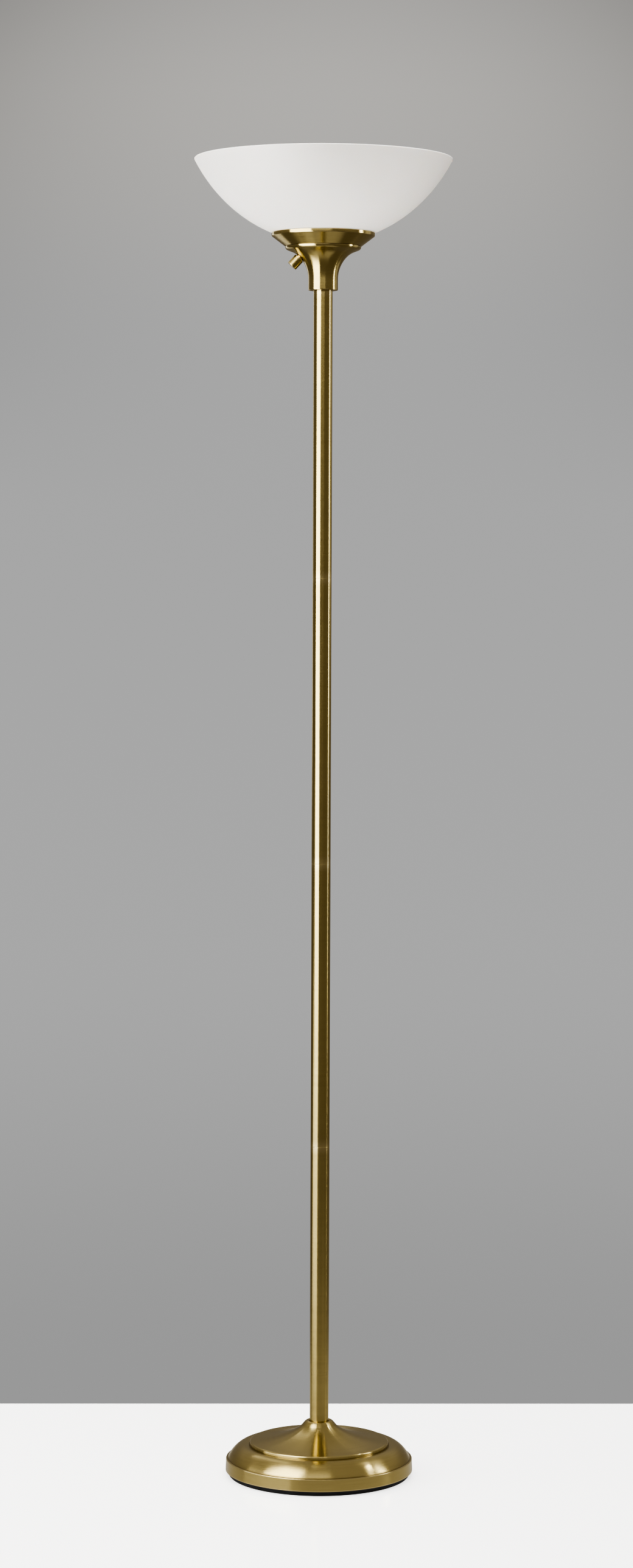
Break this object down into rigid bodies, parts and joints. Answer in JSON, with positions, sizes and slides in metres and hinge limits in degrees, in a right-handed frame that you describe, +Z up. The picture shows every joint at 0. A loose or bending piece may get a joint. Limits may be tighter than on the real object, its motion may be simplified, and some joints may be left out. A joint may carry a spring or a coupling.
{
  "type": "torchiere floor lamp",
  "caption": "Torchiere floor lamp with a round weighted base, slim jointed pole, spun cup with a rotary switch knob, and an upward opal glass bowl.",
  "frame": {"origin": "on the pole's axis, on the surface that the foot ring stands on", "axes": "+Z up along the pole; the switch knob points down and out towards -X; the cord bushing in the base faces +Y, away from the front view"},
  "size_m": [0.3497, 0.3498, 1.803],
  "materials": {
    "antique_brass": "satin brushed, lacquered",
    "opal_glass": "opal white, smooth satin",
    "black_rubber": "moulded, satin",
    "black_fibre": "pressed fibre board",
    "cast_iron": "rough cast, painted black",
    "zinc_steel": "zinc plated",
    "plain_brass": "machined",
    "black_moulding": "moulded thermoset",
    "white_moulding": "moulded, satin",
    "soft_washer": "translucent silicone",
    "lead_insulation": "flexible jacket",
    "wire_insulation": "flexible jacket",
    "cap_metal": "rolled thin sheet",
    "bulb_diffuser": "opal, satin"
  },
  "bodies": {
    "root": {"foot_ring": "black_rubber", "bottom_board": "black_fibre", "base_weight": "cast_iron", "base_cover": "antique_brass", "base_stud": "zinc_steel", "base_flat_washer": "zinc_steel", "base_lock_washer": "zinc_steel", "base_nut": "zinc_steel", "cord_bushing": "black_moulding", "pole_foot_insert": "plain_brass", "pole_tube_1": "antique_brass", "pole_tube_2": "antique_brass", "pole_tube_3": "antique_brass", "pole_tube_4": "antique_brass", "joint_socket_1": "plain_brass", "joint_socket_2": "plain_brass", "joint_socket_3": "plain_brass", "joint_stud_1": "zinc_steel", "joint_stud_2": "zinc_steel", "joint_stud_3": "zinc_steel", "pole_top_insert": "plain_brass", "top_nipple": "zinc_steel", "cup_washer": "zinc_steel", "cup_lock_washer": "zinc_steel", "cup_nut": "zinc_steel", "shade_cup": "antique_brass", "glass_bowl": "opal_glass", "socket_saddle": "zinc_steel", "saddle_screws": "zinc_steel", "socket_body": "black_moulding", "socket_screw_shell": "cap_metal", "socket_centre_contact": "plain_brass", "terminal_screws": "plain_brass", "bowl_gasket": "soft_washer", "bowl_ring": "black_moulding", "switch_body": "black_moulding", "switch_bushing": "plain_brass", "switch_ring_nut": "plain_brass", "pole_lead": "lead_insulation", "neutral_wire": "wire_insulation", "line_wire": "wire_insulation", "switched_wire": "wire_insulation"},
    "switch_knob": {"knob": "antique_brass", "switch_spindle": "plain_brass", "knob_set_screw": "zinc_steel"},
    "bulb": {"bulb_contact": "plain_brass", "bulb_insulator": "black_moulding", "bulb_cap": "cap_metal", "bulb_housing": "white_moulding", "bulb_diffuser": "bulb_diffuser"}
  },
  "joints": [
    {"name": "knob_turn", "type": "hinge", "parent": "root", "child": "switch_knob", "pos_m": [-0.0317, 0, 1.6699], "axis": [-0.6842, 0, -0.7293], "continuous": true},
    {"name": "bulb_lift", "type": "slide", "parent": "root", "child": "bulb", "axis": [0, 0, 1], "range_m": [0, 0.11]}
  ]
}
